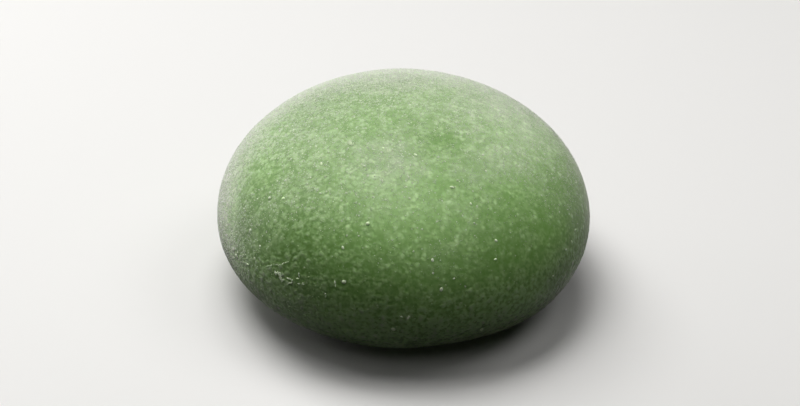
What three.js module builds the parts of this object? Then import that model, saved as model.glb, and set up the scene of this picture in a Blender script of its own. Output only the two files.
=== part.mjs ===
// A mochi rice cake: a ball of soft rice dough, closed underneath and set down on a starched
// board, where it slumps to a low dome with a bulging side and a flat foot. It is uncut, so it
// is one solid piece.
//
// Millimetres, +Z up. The origin is the middle of the foot, and the front of the cake faces -Y.

import * as THREE from "three";
import { mergeVertices } from "three/addons/utils/BufferGeometryUtils.js";

const { clamp, degToRad, smoothstep } = THREE.MathUtils;

// Driving dimensions, in millimetres.
const WIDTH = 67.4; // across the belly, the widest line round the cake
const HEIGHT = 37; // from the foot to the crown
const BELLY_HEIGHT = 13.8; // of the widest line above the foot
const FOOT_WIDTH = 32; // of the flat that it rests on

// The plan is not a true circle: the dough swells by a share of its radius, `lobes` times
// round, and most at `azimuth`, counted from +X towards +Y.
const PLAN_SWELLS = [
  { lobes: 2, share: 0.009, azimuth: degToRad(131) },
  { lobes: 3, share: 0.001, azimuth: degToRad(100) },
  { lobes: 5, share: 0.001, azimuth: degToRad(20) },
];

// Shallow marks of the palms and fingertips that rounded the dough: where each one is, as an
// azimuth and an angle down from the crown in degrees, how wide it is and how deep. A depth
// below zero is the swelling beside a press.
const HAND_MARKS = [
  { azimuth: -62, fromCrown: 24, width: 17, depth: 0.3 },
  { azimuth: -112, fromCrown: 42, width: 15, depth: -0.18 },
  { azimuth: -22, fromCrown: 50, width: 16, depth: 0.24 },
  { azimuth: -152, fromCrown: 62, width: 18, depth: 0.22 },
  { azimuth: -100, fromCrown: 84, width: 16, depth: 0.2 },
  { azimuth: -72, fromCrown: 116, width: 18, depth: 0.5 },
  { azimuth: -44, fromCrown: 110, width: 16, depth: -0.26 },
  { azimuth: -128, fromCrown: 112, width: 18, depth: 0.2 },
  { azimuth: 46, fromCrown: 78, width: 20, depth: 0.3 },
  { azimuth: 98, fromCrown: 84, width: 18, depth: 0.26 },
  { azimuth: 140, fromCrown: 80, width: 18, depth: 0.26 },
];
const MARK_EASE = 5; // the marks fade out over this height above the foot, which stays flat

// Facets along each edge of the box that the skin's grid starts as.
const GRID = 28;

// Worked out from the driving dimensions.
const RADIUS = WIDTH / 2;
const FOOT_RADIUS = FOOT_WIDTH / 2;
const CROWN_RISE = HEIGHT - BELLY_HEIGHT;
const SIDE_REACH = RADIUS - FOOT_RADIUS; // how far the belly bulges past the foot
const MIDDLE = new THREE.Vector3(0, 0, BELLY_HEIGHT);
const QUARTER = Math.PI / 2;

// Below the belly a quarter turn is shared by the rounded side and the foot, in proportion to
// their lengths along the profile, which keeps the facets even.
const SIDE_LENGTH = quarterEllipseLength(SIDE_REACH, BELLY_HEIGHT);
const SIDE_TURN = (QUARTER * SIDE_LENGTH) / (SIDE_LENGTH + FOOT_RADIUS);

// By Ramanujan's formula for the whole ellipse.
function quarterEllipseLength(a, b) {
  return (Math.PI / 4) * (3 * (a + b) - Math.sqrt((3 * a + b) * (a + 3 * b)));
}

// Radius and height of the profile for an angle down from the crown. The crown is a quarter
// ellipse down to the belly, the side is another that tucks in to the foot, and the foot is flat.
function profile(fromCrown) {
  if (fromCrown <= QUARTER) {
    return [RADIUS * Math.sin(fromCrown), BELLY_HEIGHT + CROWN_RISE * Math.cos(fromCrown)];
  }
  if (fromCrown <= QUARTER + SIDE_TURN) {
    const turn = (QUARTER * (fromCrown - QUARTER)) / SIDE_TURN;
    return [FOOT_RADIUS + SIDE_REACH * Math.cos(turn), BELLY_HEIGHT * (1 - Math.sin(turn))];
  }
  return [(FOOT_RADIUS * (Math.PI - fromCrown)) / (QUARTER - SIDE_TURN), 0];
}

// The point of the dome at an azimuth and an angle down from the crown, both in radians.
function domePoint(azimuth, fromCrown) {
  const [radius, height] = profile(fromCrown);
  let swell = 1;
  for (const { lobes, share, azimuth: fullest } of PLAN_SWELLS) {
    swell += share * Math.cos(lobes * (azimuth - fullest));
  }
  const reach = radius * swell;
  return new THREE.Vector3(reach * Math.cos(azimuth), reach * Math.sin(azimuth), height);
}

// How deep the hand marks press the skin at a point.
const markMiddles = HAND_MARKS.map(({ azimuth, fromCrown }) =>
  domePoint(degToRad(azimuth), degToRad(fromCrown)),
);

function pressDepth(point) {
  let depth = 0;
  HAND_MARKS.forEach((mark, i) => {
    const spread = point.distanceTo(markMiddles[i]) / (mark.width / 2);
    depth += mark.depth * Math.exp(-spread * spread);
  });
  return depth * smoothstep(point.z, 0, MARK_EASE);
}

// The skin: a box's grid blown up to a ball, laid on the dome and pressed in by the marks.
function doughGeometry() {
  const box = new THREE.BoxGeometry(2, 2, 2, GRID, GRID, GRID);
  box.deleteAttribute("normal");
  box.deleteAttribute("uv");
  const skin = mergeVertices(box);

  const position = skin.getAttribute("position");
  const corner = new THREE.Vector3();
  for (let i = 0; i < position.count; i++) {
    corner.fromBufferAttribute(position, i);
    // The tangent spreads the grid lines by equal angles, so that the facets come out alike.
    corner.set(...corner.toArray().map((x) => Math.tan((x * Math.PI) / 4))).normalize();
    const azimuth = Math.atan2(corner.y, corner.x);
    const point = domePoint(azimuth, Math.acos(clamp(corner.z, -1, 1)));
    const inward = MIDDLE.clone().sub(point).normalize();
    point.addScaledVector(inward, pressDepth(point));
    position.setXYZ(i, point.x, point.y, point.z);
  }

  // The swells and marks shift the outline a little, so it is centred on the foot again.
  skin.computeBoundingBox();
  const centre = skin.boundingBox.getCenter(new THREE.Vector3());
  skin.translate(-centre.x, -centre.y, 0);
  skin.computeVertexNormals();
  return skin;
}

// Matt green dough under a thin bloom of starch.
const dough = new THREE.MeshStandardMaterial({
  color: 0x9ab97f,
  roughness: 0.85,
  metalness: 0,
});

const mochi = new THREE.Mesh(doughGeometry(), dough);
mochi.name = "mochi";

const cake = new THREE.Group();
cake.add(mochi);

export default cake;
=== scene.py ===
"""A mochi rice cake: a low dome of soft green rice dough under an uneven bloom of white starch.

Metres, +Z up, the front of the cake faces -Y, and the origin is the middle of its foot.
"""

from math import cos, pi, radians, sin

import bmesh
import bpy
import numpy as np
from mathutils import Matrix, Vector, noise
from mathutils.bvhtree import BVHTree


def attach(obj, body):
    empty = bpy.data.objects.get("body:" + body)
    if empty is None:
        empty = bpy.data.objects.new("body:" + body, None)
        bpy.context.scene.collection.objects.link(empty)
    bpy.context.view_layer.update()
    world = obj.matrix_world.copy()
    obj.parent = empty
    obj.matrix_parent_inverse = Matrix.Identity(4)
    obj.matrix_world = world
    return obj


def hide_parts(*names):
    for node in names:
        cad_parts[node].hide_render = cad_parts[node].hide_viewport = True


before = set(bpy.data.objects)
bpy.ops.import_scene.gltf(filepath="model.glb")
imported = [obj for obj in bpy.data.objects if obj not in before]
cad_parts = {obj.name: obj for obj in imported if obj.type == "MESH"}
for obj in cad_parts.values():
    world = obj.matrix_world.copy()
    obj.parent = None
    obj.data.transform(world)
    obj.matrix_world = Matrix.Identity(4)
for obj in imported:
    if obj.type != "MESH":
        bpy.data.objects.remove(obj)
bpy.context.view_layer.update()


# ---------------------------------------------------------------------------- the dough
# One ball of pounded rice dough, coloured green with tea leaves ground to a powder. It was
# rounded between the palms with its seam pinched shut underneath, and set on its foot, where
# it slumped. Its skin is soft and faintly lumpy, and light sinks a little way into it.

MM = 0.001
SKIN_FINENESS = 2  # halvings of each side of the CAD grid's squares
SKIN_LUMPS = [(9 * MM, 0.07 * MM), (3.6 * MM, 0.035 * MM), (1.6 * MM, 0.014 * MM)]  # (width, height)
FLAT_FOOT = 2.5 * MM  # the lumps fade out over this height, so that the foot stays flat


def smooth_step(values, low, high):
    """0 at low and below, 1 at high and above, with a soft start and end between."""
    share = np.clip((values - low) / (high - low), 0, 1)
    return share * share * (3 - 2 * share)


def coordinates(mesh):
    """The mesh's vertices as rows of x, y and z."""
    places = np.empty(len(mesh.vertices) * 3)
    mesh.vertices.foreach_get("co", places)
    return places.reshape(-1, 3)


def normals(mesh):
    """The mesh's vertex normals as rows of x, y and z."""
    directions = np.empty(len(mesh.vertices) * 3)
    mesh.vertex_normals.foreach_get("vector", directions)
    return directions.reshape(-1, 3)


def softly_varying(places, width, seed):
    """Values round 0, between about -1 and 1, that change over about this width."""
    shift = Vector((seed * 7.3, seed * 3.1, seed * 5.7))
    return np.array([noise.noise(Vector(place) / width + shift) for place in places])


def finished(mesh, name):
    """An object for the mesh, with every modifier's work already in it."""
    piece = bpy.data.objects.new(name, mesh)
    bpy.context.scene.collection.objects.link(piece)
    return piece


def squared_skin(node):
    """A copy of the node's skin with its loose triangles paired back into a grid of squares."""
    shape = bmesh.new()
    shape.from_mesh(node.data)
    bmesh.ops.remove_doubles(shape, verts=shape.verts, dist=0.001 * MM)
    bmesh.ops.join_triangles(
        shape,
        faces=shape.faces,
        angle_face_threshold=radians(30),
        angle_shape_threshold=radians(70),
    )
    mesh = bpy.data.meshes.new("squared_skin")
    shape.to_mesh(mesh)
    shape.free()
    return mesh


def refined(piece, levels):
    """The piece's mesh under Subdivision Surface, as a mesh of its own."""
    smoothing = piece.modifiers.new("smooth", "SUBSURF")
    smoothing.levels = levels
    smoothing.render_levels = levels
    seen = piece.evaluated_get(bpy.context.evaluated_depsgraph_get())
    mesh = bpy.data.meshes.new_from_object(seen)
    piece.modifiers.clear()
    return mesh


dough = finished(squared_skin(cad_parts["mochi"]), "dough")
dough.data = refined(dough, SKIN_FINENESS)
dough.data.name = "dough"

places = coordinates(dough.data)
rise = np.zeros(len(places))
for seed, (width, height) in enumerate(SKIN_LUMPS):
    rise += height * softly_varying(places, width, seed)
rise *= smooth_step(places[:, 2], 0, FLAT_FOOT)
places += normals(dough.data) * rise[:, None]
dough.data.vertices.foreach_set("co", places.ravel())
dough.data.shade_smooth()
dough.data.update()


# The bloom is the starch that the board and the hands left on the skin, with painted light mixed
# into it: painted sheen that whitens it towards the far rim, painted rim light at the left edge,
# painted shade at the right edge, and painted top light on the crown beside the starch that settled
# there. How much lies where is worked out once for each point of the skin: the skin's colour and the
# loose grains both read it.

BLOOM = 0.11  # of the skin that starch hides, where it lies evenly
SETTLED_AND_TOP_LIGHT = 0.15  # more on the crown, less on the sides: starch settled on top, and painted light, whiter where the light from above falls
LEFTWARD = 0.05  # more on the left side, less on the right
LEFT_PAINTED_RIM_WHITENING = 0.27  # painted rim light: whiter starch at the left edge, where light from the back left grazes it
RIGHT_PAINTED_SHADE = -0.30  # painted shade: less starch at the right edge, which stays greener and darker where little light reaches it
FAR_PAINTED_SHEEN = 0.74  # painted sheen: whiter and whiter towards the far side, for the pale sheen of fuzz along the far rim
FAR_SHEEN_THINNING = 0.65  # the share of that painted sheen which is gone again past the far shoulder
FOOT_BLOOM = 0.20  # more on the foot and the side near it, from the board
FINEST = 0.85  # the coarseness of the starch on the front, where the fingers left it finest
LEFT_GRIT = 1.2  # coarser at the left edge
LOW_GRIT = 2.6  # coarser low down
FAR_GRIT = 0.7  # coarser on the far side, most of all to the left
FAR_RIGHT_GRIT = 0.3  # the share of that which is left on the far side's right
DRIFTS = [(14 * MM, 0.05), (5 * MM, 0.04), (2.4 * MM, 0.03)]  # (width, strength)

# Where each of them sets in and where it is full, by how far the skin faces that way: 1 is
# straight that way, 0 is across it and -1 is straight away from it.
LEFT_EDGE = (0.68, 1)
RIGHT_EDGE = (0.85, 1)
FAR_SIDE = (-0.86, 0.64)
UNDERSIDE = (0.55, 0.95)
LEFT_GRIT_SIDE = (-0.1, 0.8)
LOW_GRIT_SIDE = (-0.45, 0.15)
FAR_GRIT_SIDE = (-0.5, 0)
FAR_RIGHT = (0, 0.4)

# The far shoulder is where the skin slopes down and away by this much. Two things end past it.
FAR_SHOULDER_SLOPE = 0.6
LEFT_EDGE_END = (0.05, 0.4)
FAR_THINNING_SIDE = (0.05, 0.45)

# Where fingers rubbed the starch off, and where it was left thick: azimuth and height of each
# patch's middle in degrees and millimetres, its width in millimetres and its strength.
PATCHES = [
    (-142, 36, 12, -0.08),  # rubbed along the crown
    (-63, 35, 8, -0.15),
    (-42, 29, 8, -0.12),  # rubbed on the front
    (-57, 24, 10, -0.08),
    (-127, 24, 10, -0.10),
    (-158, 28, 10, -0.18),  # rubbed on the left shoulder
    (-90, 34, 8, 0.15),  # thick in front of the crown
    (-108, 34, 12, 0.10),
    (-52, 32, 6, 0.10),
    (-33, 31, 10, 0.13),  # thick on the right shoulder
    (-6, 30, 12, 0.08),
    (8, 33, 14, 0.14),
    (170, 21, 16, 0.15),  # thick on the left side
    (165, 35, 16, -0.15),  # thin on the far left shoulder
    (178, 31, 8, -0.14),
    (-38, 15, 12, -0.25),  # thin low down on the right
    (-100, 12, 26, -0.15),  # thin low down in front
    (-135, 12, 20, -0.15),
]

# Painted light and shade: the dough's colour is made paler where the skin's shallow undulations face
# the light and darker where they turn into shade: azimuth, height, width and strength as above.
PAINTED_LIGHT_AND_SHADE_PLACES = [
    (-161, 18, 8, 0.20),  # the left side
    (-151, 14, 6, 0.20),
    (-150, 20, 10, -0.32),
    (-128, 22, 14, -0.22),
    (-116, 18, 12, -0.18),  # low down in front
    (-96, 16, 12, -0.20),
    (-100, 30, 16, 0.18),  # the front
    (-78, 29, 20, 0.22),
    (-63, 35, 8, -0.12),  # painted shade in the dent right of the crown
    (-38, 30, 12, 0.12),  # the right side
    (-38, 21, 12, 0.18),
    (-38, 13, 10, -0.40),
    (-6, 31, 18, 0.30),
    (90, 36, 10, -0.20),  # the far side
    (155, 34, 24, -0.28),
]
LEFT_PAINTED_RIM_BRIGHTENING = 0.42  # painted rim light: paler still along the left edge, where light from the back left grazes it

skin_tree = BVHTree.FromObject(dough, bpy.context.evaluated_depsgraph_get())
places = coordinates(dough.data)
facing = normals(dough.data)
leftward = -facing[:, 0]
rearward = facing[:, 1]
upward = facing[:, 2]
past_far_shoulder = rearward - FAR_SHOULDER_SLOPE * upward


def skin_point(azimuth, height):
    """The skin's point and normal at an azimuth in degrees and a height in millimetres."""
    outward = Vector((cos(radians(azimuth)), sin(radians(azimuth)), 0))
    return skin_tree.ray_cast(Vector((0, 0, height * MM)), outward)[:2]


def sum_of_patches(patches):
    """The patches' strengths at every point of the skin, each fading out round its middle."""
    total = np.zeros(len(places))
    for azimuth, height, width, strength in patches:
        middle = np.array(skin_point(azimuth, height)[0])
        spread = np.linalg.norm(places - middle, axis=1) / (0.5 * width * MM)
        total += strength * np.exp(-spread * spread)
    return total


# The left edge, where painted rim light whitens the starch and pales the skin.
left_rim_light_mask = smooth_step(leftward, *LEFT_EDGE)
left_rim_light_mask *= 1 - smooth_step(past_far_shoulder, *LEFT_EDGE_END)
# How far the painted sheen reaches towards the far rim, and how much of it thins past the far
# shoulder.
far_start, far_end = FAR_SIDE
far_sheen_share = (rearward + 0.1 * leftward - far_start) / (far_end - far_start)
far_sheen_thinning = FAR_SHEEN_THINNING * smooth_step(past_far_shoulder, *FAR_THINNING_SIDE)
# On the crown, settled starch and painted top light.
starch_and_sheen = BLOOM + SETTLED_AND_TOP_LIGHT * (upward - 0.5) + LEFTWARD * leftward
# Painted rim light along the left edge.
starch_and_sheen += LEFT_PAINTED_RIM_WHITENING * left_rim_light_mask
# Painted shade at the right edge.
starch_and_sheen += RIGHT_PAINTED_SHADE * smooth_step(-leftward, *RIGHT_EDGE)
# Painted sheen towards the far rim.
starch_and_sheen += FAR_PAINTED_SHEEN * np.clip(far_sheen_share, 0, 0.9) ** 3 * (1 - far_sheen_thinning)
starch_and_sheen += FOOT_BLOOM * smooth_step(-upward, *UNDERSIDE)
for seed, (width, strength) in enumerate(DRIFTS):
    starch_and_sheen += strength * softly_varying(places, width, 11 + seed)
starch_and_sheen += sum_of_patches(PATCHES)
starch_and_sheen = np.clip(starch_and_sheen, 0, 1)
dough.data.attributes.new("starch_and_sheen", "FLOAT", "POINT").data.foreach_set("value", starch_and_sheen)

# Painted light and shade scales the skin's colour paler or darker, with painted rim light along the
# left edge.
painted_light_and_shade = 1 + sum_of_patches(PAINTED_LIGHT_AND_SHADE_PLACES) + LEFT_PAINTED_RIM_BRIGHTENING * left_rim_light_mask
dough.data.attributes.new("painted_light_and_shade", "FLOAT", "POINT").data.foreach_set("value", painted_light_and_shade)

right_share = 1 - (1 - FAR_RIGHT_GRIT) * smooth_step(-leftward, *FAR_RIGHT)
coarseness = FINEST + LEFT_GRIT * smooth_step(leftward, *LEFT_GRIT_SIDE)
coarseness += LOW_GRIT * smooth_step(-upward, *LOW_GRIT_SIDE)
coarseness += FAR_GRIT * smooth_step(rearward, *FAR_GRIT_SIDE) * right_share
dough.data.attributes.new("coarseness", "FLOAT", "POINT").data.foreach_set("value", coarseness)


def place(tree, kind, inputs=None, **settings):
    """Adds a shader node, sets its properties, and sets or links each of its inputs."""
    node = tree.nodes.new("ShaderNode" + kind)
    for name, value in settings.items():
        setattr(node, name, value)
    for name, value in (inputs or {}).items():
        if isinstance(value, bpy.types.NodeSocket):
            tree.links.new(value, node.inputs[name])
        else:
            node.inputs[name].default_value = value
    return node


def combine(tree, operation, *values):
    """The output of a Math node."""
    return place(tree, "Math", dict(enumerate(values)), operation=operation).outputs[0]


def stretch(tree, value, low, high, new_low=0, new_high=1):
    """The output of a Map Range node, which also keeps the value inside the new range."""
    inputs = {0: value, 1: low, 2: high, 3: new_low, 4: new_high}
    return place(tree, "MapRange", inputs).outputs[0]


def blend(tree, share, first, second):
    """The colour between two colours."""
    inputs = {0: share, 6: first, 7: second}
    return place(tree, "Mix", inputs, data_type="RGBA").outputs[2]


def new_group(name, inputs, outputs):
    """An empty node group, its input node and its output node."""
    group = bpy.data.node_groups.new(name, "ShaderNodeTree")
    for socket, kind in inputs.items():
        group.interface.new_socket(socket, in_out="INPUT", socket_type="NodeSocket" + kind)
    for socket, kind in outputs.items():
        group.interface.new_socket(socket, in_out="OUTPUT", socket_type="NodeSocket" + kind)
    return group, group.nodes.new("NodeGroupInput"), group.nodes.new("NodeGroupOutput")


def new_material(name):
    """A material, its tree cleared down to a Principled BSDF, and that shader."""
    material = bpy.data.materials.new(name)
    material.use_nodes = True
    tree = material.node_tree
    tree.nodes.clear()
    shader = place(tree, "BsdfPrincipled")
    place(tree, "OutputMaterial", {"Surface": shader.outputs[0]})
    return material, tree, shader


# Starch seen close to: a film that thickens into mottles, and a grit of fine crumbs on it that
# crowd where the film is thick.
CRUMB_COVER = 0.12  # of the skin that the film hides more where crumbs stand on it
MOTTLED_CRUMBS = 0.7  # how much the crumbs crowd in the thick mottles, as a share
MOTTLED_FILM = 0.24  # how much thicker the film is there, as a share
starch_film, given, sent = new_group(
    "starch film",
    {"Where": "Vector", "Starch and sheen": "Float", "Coarseness": "Float"},
    {"Cover": "Float", "Relief": "Float"},
)


def film_noise(scale, detail, low, high, strength, new_low=0):
    """Noise over the film, stretched from the range given to one up to this strength."""
    inputs = {"Vector": given.outputs["Where"], "Scale": scale, "Detail": detail}
    values = place(starch_film, "TexNoise", inputs).outputs["Fac"]
    return stretch(starch_film, values, low, high, new_low * strength, strength)


def film_spots(scale, widest, strength):
    """Round spots over the film, each of its own strength up to this one."""
    cells = place(starch_film, "TexVoronoi", {"Vector": given.outputs["Where"], "Scale": scale})
    spots = stretch(starch_film, cells.outputs["Distance"], widest, 0.12, 0, strength)
    chance = place(starch_film, "SeparateColor", {"Color": cells.outputs["Color"]}).outputs["Red"]
    return combine(starch_film, "MULTIPLY", spots, stretch(starch_film, chance, 0.2, 1))


mottle = film_noise(scale=450, detail=2, low=0.3, high=0.7, strength=1, new_low=-1)
small_spots = film_spots(scale=1600, widest=0.5, strength=0.45)
large_spots = film_spots(scale=880, widest=0.48, strength=0.9)
grit = film_noise(scale=1250, detail=1, low=0.35, high=0.75, strength=0.55)
spots = combine(starch_film, "ADD", small_spots, large_spots)
even_crumbs = combine(starch_film, "ADD", spots, grit)
crowding = combine(starch_film, "MULTIPLY_ADD", mottle, MOTTLED_CRUMBS, 1)
crowded_crumbs = combine(starch_film, "MULTIPLY", even_crumbs, crowding)
crumbs = combine(starch_film, "MULTIPLY", crowded_crumbs, given.outputs["Coarseness"])
thickening = combine(starch_film, "MULTIPLY_ADD", mottle, MOTTLED_FILM, 1)
bare_film = combine(starch_film, "MULTIPLY", thickening, given.outputs["Starch and sheen"])
cover = combine(starch_film, "MULTIPLY_ADD", crumbs, CRUMB_COVER, bare_film)
starch_film.links.new(stretch(starch_film, cover, 0, 1), sent.inputs["Cover"])
starch_film.links.new(crumbs, sent.inputs["Relief"])

DOUGH_GREEN = (0.340, 0.580, 0.185, 1)
DOUGH_SHADED_GREEN = (0.162, 0.326, 0.067, 1)  # painted shade: darker between the crumbs, in the hollows of the grit
STARCH_WHITE = (0.76, 0.78, 0.66, 1)
FILM_STRENGTH = 0.95  # the share of the skin's colour that the thickest film hides
CRUMB_RISE = 0.12 * MM

skin_finish, tree, shader = new_material("starched dough")
film = place(tree, "Group", node_tree=starch_film)
tree.links.new(place(tree, "TexCoord").outputs["Object"], film.inputs["Where"])
starch_and_sheen_here = place(tree, "Attribute", attribute_name="starch_and_sheen").outputs["Fac"]
tree.links.new(starch_and_sheen_here, film.inputs["Starch and sheen"])
coarseness_here = place(tree, "Attribute", attribute_name="coarseness").outputs["Fac"]
tree.links.new(coarseness_here, film.inputs["Coarseness"])
crumb_share = stretch(tree, film.outputs["Relief"], 0, 1.1)
# Painted shade: the green is darker between the crumbs than on them.
green = blend(tree, crumb_share, DOUGH_SHADED_GREEN, DOUGH_GREEN)
thickness = combine(tree, "POWER", film.outputs["Cover"], 1.2)
film_share = combine(tree, "MULTIPLY", thickness, FILM_STRENGTH)
dusted = blend(tree, film_share, green, STARCH_WHITE)
painted_light_and_shade_here = place(tree, "Attribute", attribute_name="painted_light_and_shade").outputs["Fac"]
# The colour is scaled by the painted light and shade.
scaled = place(tree, "VectorMath", {0: dusted, "Scale": painted_light_and_shade_here}, operation="SCALE")
tree.links.new(scaled.outputs[0], shader.inputs["Base Color"])
roughness = stretch(tree, film.outputs["Cover"], 0, 1, 0.55, 0.95)
tree.links.new(roughness, shader.inputs["Roughness"])
relief = {"Height": film.outputs["Relief"], "Distance": CRUMB_RISE, "Strength": 0.4}
tree.links.new(place(tree, "Bump", relief).outputs[0], shader.inputs["Normal"])
shader.inputs["Specular IOR Level"].default_value = 0.25
shader.inputs["Subsurface Weight"].default_value = 0.35
shader.inputs["Subsurface Radius"].default_value = (0.7, 1.0, 0.4)
shader.inputs["Subsurface Scale"].default_value = 2.5 * MM
shader.inputs["Sheen Weight"].default_value = 0.6
shader.inputs["Sheen Roughness"].default_value = 0.35
shader.inputs["Sheen Tint"].default_value = (1.0, 0.95, 0.93, 1)
dough.data.materials.clear()
dough.data.materials.append(skin_finish)
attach(dough, "root")
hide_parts("mochi")


# ---------------------------------------------------------------------------- loose starch
# Grains of potato starch that stand on the film: mostly single and finer than salt, some
# stuck together. They lie thickest where the bloom does, half sunk in the sticky skin.

CLEAR_OF_FOOT = 0.6 * MM  # no grain lies lower than this, where it would lift the cake
GLOW_DEPTH = 0.15 * MM  # how far light goes into a grain
GRAIN_DULL = (0.67, 0.69, 0.59, 1)
GRAIN_WHITE = (0.86, 0.86, 0.80, 1)
CRUMB_DULL = (0.57, 0.72, 0.43, 1)
CRUMB_WHITE = (0.76, 0.85, 0.64, 1)
DAMP_GREEN = (0.28, 0.47, 0.15, 1)
DAMP_WHITE = (0.52, 0.68, 0.36, 1)
CLOT_DULL = (0.66, 0.80, 0.52, 1)
CLOT_WHITE = (0.90, 0.97, 0.76, 1)
LUMP_DULL = (0.74, 0.92, 0.56, 1)
LUMP_WHITE = (0.80, 0.95, 0.64, 1)


def unit_shape(make, **sizes):
    """The vertices and triangles of a small closed shape about as wide as 1."""
    shape = bmesh.new()
    make(shape, **sizes)
    bmesh.ops.triangulate(shape, faces=shape.faces)
    corners = np.array([corner.co[:] for corner in shape.verts])
    triangles = np.array([[corner.index for corner in face.verts] for face in shape.faces])
    shape.free()
    return corners, triangles


def scattered_points(mesh, count, thick, coarse, draw):
    """Points of the skin and its normals there, drawn more often where the starch is thick
    and where it is coarse, by these two powers."""
    mesh.calc_loop_triangles()
    triangles = np.array([triangle.vertices[:] for triangle in mesh.loop_triangles])
    corners = coordinates(mesh)[triangles]
    directions = normals(mesh)[triangles]
    across = np.cross(corners[:, 1] - corners[:, 0], corners[:, 2] - corners[:, 0])
    chance = np.linalg.norm(across, axis=1)
    chance *= starch_and_sheen[triangles].mean(axis=1) ** thick * coarseness[triangles].mean(axis=1) ** coarse
    chance *= corners[:, :, 2].min(axis=1) > CLEAR_OF_FOOT
    chosen = draw.choice(len(triangles), count, p=chance / chance.sum())
    shares = draw.dirichlet((1, 1, 1), count)[:, :, None]
    points = (corners[chosen] * shares).sum(axis=1)
    upright = (directions[chosen] * shares).sum(axis=1)
    return points, upright / np.linalg.norm(upright, axis=1)[:, None]


def grains_on(points, upright, widths, kernel, tallness, sunk, draw):
    """One mesh of many grains: the kernel turned and stretched at random at every point."""
    corners, triangles = kernel
    count = len(points)
    sideways = np.cross(upright, draw.normal(size=(count, 3)))
    sideways /= np.linalg.norm(sideways, axis=1)[:, None]
    axes = np.stack([sideways, np.cross(upright, sideways), upright], axis=1)
    stretch_by = draw.uniform(0.6, 1.5, (count, 3)) * (1, 1, tallness)
    shaped = corners[None] * stretch_by[:, None] * widths[:, None, None]
    middles = points + upright * (widths * tallness * (0.5 - sunk))[:, None]
    everywhere = middles[:, None] + shaped @ axes
    faces = triangles[None] + (np.arange(count) * len(corners))[:, None, None]
    mesh = bpy.data.meshes.new("grains")
    mesh.from_pydata(everywhere.reshape(-1, 3), [], faces.reshape(-1, 3))
    return mesh


def starch_finish(name, duller, whiter, glow=1.0):
    """A matt finish whose grains are each of a colour between two, and let light through in
    this share."""
    material, tree, shader = new_material(name)
    apart = place(tree, "NewGeometry").outputs["Random Per Island"]
    tree.links.new(blend(tree, apart, duller, whiter), shader.inputs["Base Color"])
    shader.inputs["Roughness"].default_value = 0.85
    shader.inputs["Specular IOR Level"].default_value = 0.3
    shader.inputs["Subsurface Weight"].default_value = glow
    shader.inputs["Subsurface Radius"].default_value = (1.0, 1.0, 1.0)
    shader.inputs["Subsurface Scale"].default_value = GLOW_DEPTH
    return material


dry_starch = starch_finish("dry starch", GRAIN_DULL, GRAIN_WHITE)
crumbling_starch = starch_finish("crumbling starch", CRUMB_DULL, CRUMB_WHITE)
damp_starch = starch_finish("damp starch", DAMP_GREEN, DAMP_WHITE)

four_sided = unit_shape(
    bmesh.ops.create_cone, cap_ends=True, segments=3, radius1=0.5, radius2=0, depth=0.7
)
eight_sided = unit_shape(bmesh.ops.create_uvsphere, u_segments=4, v_segments=2, radius=0.5)
twenty_sided = unit_shape(bmesh.ops.create_icosphere, subdivisions=1, radius=0.5)
rounded = unit_shape(bmesh.ops.create_icosphere, subdivisions=2, radius=0.5)

# (name, how many, narrowest and widest in millimetres, how much finer ones prevail, how much
# they crowd where the starch is thick and where it is coarse, their height as a share of their
# width, how deep they sink as a share of their height, kernel, finish)
GRAIN_KINDS = [
    ("starch_powder", 49500, 0.07, 0.12, 1.0, 1.3, 0, 1.6, 0.1, four_sided, dry_starch),
    ("starch_dust", 24000, 0.11, 0.20, 1.0, 2.0, 0, 1.4, 0.2, four_sided, dry_starch),
    ("starch_crumbs", 24500, 0.18, 0.40, 1.5, 2.0, 1.0, 0.5, 0.5, eight_sided, crumbling_starch),
    ("damp_crumbs", 8000, 0.20, 0.45, 1.8, 0.0, 2.5, 0.35, 0.5, eight_sided, damp_starch),
    ("coarse_starch", 2500, 0.16, 0.34, 2.0, 1.5, 2.0, 0.5, 0.4, twenty_sided, crumbling_starch),
]
for seed, kind in enumerate(GRAIN_KINDS):
    name, count, fine, widest, prevail, thick, coarse, tallness, sunk, kernel, finish = kind
    draw = np.random.default_rng(40 + seed)
    points, upright = scattered_points(dough.data, count, thick, coarse, draw)
    widths = MM * fine * (widest / fine) ** (draw.random(count) ** prevail)
    grains = finished(grains_on(points, upright, widths, kernel, tallness, sunk, draw), name)
    grains.data.materials.append(finish)
    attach(grains, "root")


def on_skin(spots):
    """The points and the normals of these spots of the skin, as two arrays."""
    points, upright = zip(*spots)
    return np.array(points), np.array(upright)


# Clots of damp starch that dried on the skin, each a heap of fine grains along a short bow: the
# azimuth and height of its middle in degrees and millimetres, its length and width in
# millimetres, how many grains it has, and how far it slants up from the level, anticlockwise,
# and bends along its length, in degrees.
CLOTS = [
    (-130.9, 17.4, 0.90, 0.45, 50, 10, 0),
    (-129.4, 16.9, 1.70, 0.50, 104, -55, 50),
    (-125.7, 17.4, 1.20, 0.24, 20, 5, 0),
    (-125.6, 16.6, 1.30, 0.26, 24, 38, 0),
    (-122.7, 18.7, 0.70, 0.12, 8, -70, 0),
    (-122.4, 17.2, 0.34, 0.20, 4, 0, 0),
    (-120.9, 17.4, 0.32, 0.20, 3, 0, 0),
    (-134.5, 17.8, 1.40, 0.10, 5, 34, 0),
    (-130.5, 18.9, 1.40, 0.12, 6, 20, 0),
    (-128.3, 19.7, 1.30, 0.12, 6, 34, 0),
    (-110.6, 19.0, 1.10, 0.12, 6, -75, 0),
    (-113.3, 16.6, 0.60, 0.12, 4, -80, 0),
    (-129.4, 34.8, 1.60, 0.80, 120, -20, 20),
    (-88.6, 14.2, 0.60, 0.30, 24, 60, 0),
    (-90.6, 14.3, 0.30, 0.26, 12, 0, 0),
    (-33.0, 17.7, 0.36, 0.30, 10, 0, 0),
    (-25.1, 19.0, 0.36, 0.30, 14, 0, 0),
]
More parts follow.
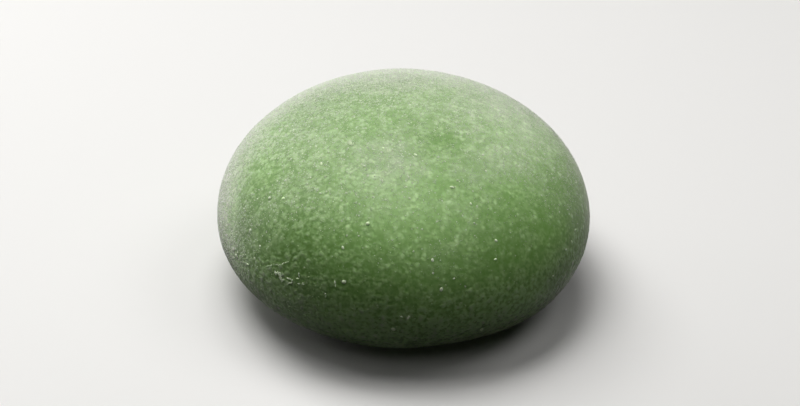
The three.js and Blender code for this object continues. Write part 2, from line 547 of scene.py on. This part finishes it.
CLOT_GRAINS = (0.10, 0.20)  # narrowest and widest in millimetres
CLOT_GRAIN_HEIGHT = 1.3  # as a share of a grain's width
CLOT_GRAIN_SUNK = 0.3  # as a share of its height
STRAYING = 0.26  # how far its grains lie to the side of the bow, as a share of the clot's width

draw = np.random.default_rng(50)
spots = []
for azimuth, height, length, width, count, slant, bend in CLOTS:
    point, upright = skin_point(azimuth, height)
    level = Vector((-sin(radians(azimuth)), cos(radians(azimuth)), 0))
    uphill = upright.cross(level).normalized()
    asides = STRAYING * width * draw.normal(size=count)
    for along, aside in zip(np.linspace(-0.5, 0.5, count).tolist(), asides.tolist()):
        turn = radians(slant + bend * along)
        ahead = cos(turn) * level + sin(turn) * uphill
        across = cos(turn) * uphill - sin(turn) * level
        offset = (length * along * ahead + aside * across) * MM
        spots.append(skin_tree.find_nearest(point + offset)[:2])
widths = draw.uniform(*CLOT_GRAINS, len(spots)) * MM
heaps = grains_on(*on_skin(spots), widths, twenty_sided, CLOT_GRAIN_HEIGHT, CLOT_GRAIN_SUNK, draw)
clots = finished(heaps, "starch_clots")
clots.data.materials.append(starch_finish("clotted starch", CLOT_DULL, CLOT_WHITE, 0.0))
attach(clots, "root")


# The lumps that stand out one by one: azimuth in degrees, height and width in millimetres.
LUMPS_OF_STARCH = [
    (-135, 32.5, 0.6),
    (-112, 33.5, 0.55),
    (-82, 34.5, 0.55),
    (-105, 35, 0.5),
    (-99, 35.5, 0.5),
    (-68, 31.5, 0.6),
    (-64, 32, 0.4),
    (-63, 29.5, 0.4),
    (-103, 28, 0.6),
    (-59, 24.5, 0.65),
    (-61, 22, 0.45),
    (-110, 24.5, 0.45),
    (-140, 20, 0.4),
    (-151, 15, 0.6),
    (-144, 15.5, 0.5),
    (-141, 17.5, 0.4),
    (-161, 18.5, 0.5),
    (-147, 21, 0.4),
    (-146, 26.5, 0.55),
    (-140, 27.5, 0.5),
    (-135, 28.5, 0.55),
    (-123, 18, 0.4),
    (-121, 17.5, 0.3),
    (-108, 19.5, 0.6),
    (-81, 23.5, 0.5),
    (-75, 20.5, 0.4),
    (-79, 19, 0.6),
    (-29, 18, 0.45),
    (-41, 15, 0.45),
    (-93, 11.5, 0.6),
    (-66, 9, 0.7),
]
LUMP_HEIGHT = 0.5  # as a share of a lump's width
LUMP_SUNK = 0.4  # as a share of its height

draw = np.random.default_rng(60)
spots = [skin_point(azimuth, height) for azimuth, height, width in LUMPS_OF_STARCH]
widths = np.array([width for azimuth, height, width in LUMPS_OF_STARCH]) * MM
single_lumps = grains_on(*on_skin(spots), widths, rounded, LUMP_HEIGHT, LUMP_SUNK, draw)
lumps = finished(single_lumps, "starch_lumps")
lumps.data.materials.append(starch_finish("lumpy starch", LUMP_DULL, LUMP_WHITE))
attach(lumps, "root")


# ---------------------------------------------------------------------------- the table
# A plain, pale, matt tabletop under the cake, far larger than the cake is. It stands in for
# whatever the cake is set down on.

TABLE_SIZE = 6.0

shape = bmesh.new()
bmesh.ops.create_grid(shape, x_segments=1, y_segments=1, size=TABLE_SIZE / 2)
table_mesh = bpy.data.meshes.new("table")
shape.to_mesh(table_mesh)
shape.free()
table = finished(table_mesh, "table")
table_finish, tree, shader = new_material("pale table")
shader.inputs["Base Color"].default_value = (0.80, 0.79, 0.77, 1)
shader.inputs["Roughness"].default_value = 0.7
table.data.materials.append(table_finish)
table.visible_diffuse = False  # the cake's underside stays as dark as over a dark dish


# ---------------------------------------------------------------------------- light
# Broad soft lamps round the cake: most of the light comes from above its far side, and more
# from the left than from the right. Very little light comes from all round.

LAMP_AIM = Vector((0, 0, 20 * MM))
LAMP_DISTANCE = 0.60
LAMP_WIDTH = 0.30


def soft_lamp(name, azimuth, elevation, power):
    """A round soft lamp that faces the cake from an azimuth and elevation in degrees."""
    level = cos(radians(elevation))
    rise = sin(radians(elevation))
    towards = Vector((cos(radians(azimuth)) * level, sin(radians(azimuth)) * level, rise))
    light = bpy.data.lights.new(name, "AREA")
    light.shape = "DISK"
    light.size = LAMP_WIDTH
    light.energy = power
    lamp = bpy.data.objects.new(name, light)
    lamp.location = LAMP_AIM + LAMP_DISTANCE * towards
    lamp.rotation_euler = towards.to_track_quat("Z", "Y").to_euler()
    bpy.context.scene.collection.objects.link(lamp)


soft_lamp("back lamp", 90, 75, 1.30)
soft_lamp("left back lamp", 135, 55, 1.27)
soft_lamp("top left lamp", 180, 75, 1.09)
soft_lamp("low left back lamp", 150, 5, 0.68)
soft_lamp("low back lamp", 120, 5, 1.07)
soft_lamp("right lamp", 0, 55, 0.51)
soft_lamp("front lamp", 270, 55, 0.22)

surroundings = bpy.data.worlds.new("surroundings")
surroundings.use_nodes = True
tree = surroundings.node_tree
tree.nodes.clear()
ambient = place(tree, "Background", {"Color": (0.006, 0.006, 0.006, 1)})
backdrop = place(tree, "Background", {"Color": (0.62, 0.62, 0.61, 1)})
seen_directly = place(tree, "LightPath").outputs["Is Camera Ray"]
mixed = place(tree, "MixShader", {0: seen_directly, 1: ambient.outputs[0], 2: backdrop.outputs[0]})
place(tree, "OutputWorld", {"Surface": mixed.outputs[0]})
bpy.context.scene.world = surroundings
bpy.context.scene.view_settings.view_transform = "Standard"


# ---------------------------------------------------------------------------- camera
# A long lens a forearm's length away, looking down on the front of the cake.

AIM = Vector((-0.62, -3.97, 18.3)) * MM
DISTANCE = 375 * MM
ELEVATION = radians(32)

lens = bpy.data.cameras.new("camera")
lens.lens = 94.5
lens.sensor_width = 36
lens.clip_start = 0.01
camera = bpy.data.objects.new("camera", lens)
camera.location = AIM + DISTANCE * Vector((0, -cos(ELEVATION), sin(ELEVATION)))
camera.rotation_euler = (pi / 2 - ELEVATION, 0, 0)
bpy.context.scene.collection.objects.link(camera)
bpy.context.scene.camera = camera
